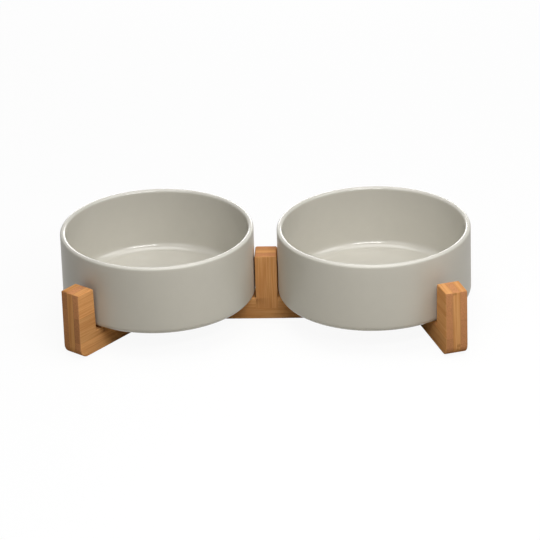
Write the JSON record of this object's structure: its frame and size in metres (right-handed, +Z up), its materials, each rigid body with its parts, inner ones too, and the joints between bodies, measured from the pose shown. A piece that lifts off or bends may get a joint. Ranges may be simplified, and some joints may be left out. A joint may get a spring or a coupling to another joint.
{
  "type": "double pet bowl",
  "caption": "Pair of straight-walled ceramic pet bowls that lift out of a low laminated bamboo stand with rounded uprights and a post between the bowls.",
  "frame": {"origin": "on the floor, in the middle of the stand, under the centre post", "axes": "+X along the row of bowls to the right as seen from the front, +Y to the rear, +Z up"},
  "size_m": [0.3286, 0.1662, 0.079],
  "materials": {
    "glaze": "satin warm grey glaze",
    "bamboo": "three-layer caramel bamboo, clear satin",
    "steel": "zinc-plated wood screw",
    "pad_rubber": "soft translucent grey pad"
  },
  "bodies": {
    "stand": {"centre_beam": "bamboo", "centre_post": "bamboo", "front_left_leg": "bamboo", "rear_left_leg": "bamboo", "front_right_leg": "bamboo", "rear_right_leg": "bamboo", "post_screw": "steel", "front_left_screw": "steel", "rear_left_screw": "steel", "front_right_screw": "steel", "rear_right_screw": "steel", "centre_pad": "pad_rubber", "front_left_pad": "pad_rubber", "rear_left_pad": "pad_rubber", "front_right_pad": "pad_rubber", "rear_right_pad": "pad_rubber"},
    "left_bowl": {"bowl_left": "glaze"},
    "right_bowl": {"bowl_right": "glaze"}
  },
  "joints": [
    {"name": "left_bowl_lift", "type": "slide", "parent": "stand", "child": "left_bowl", "axis": [0, 0, 1], "range_m": [0, 0.12]},
    {"name": "right_bowl_lift", "type": "slide", "parent": "stand", "child": "right_bowl", "axis": [0, 0, 1], "range_m": [0, 0.12]}
  ]
}
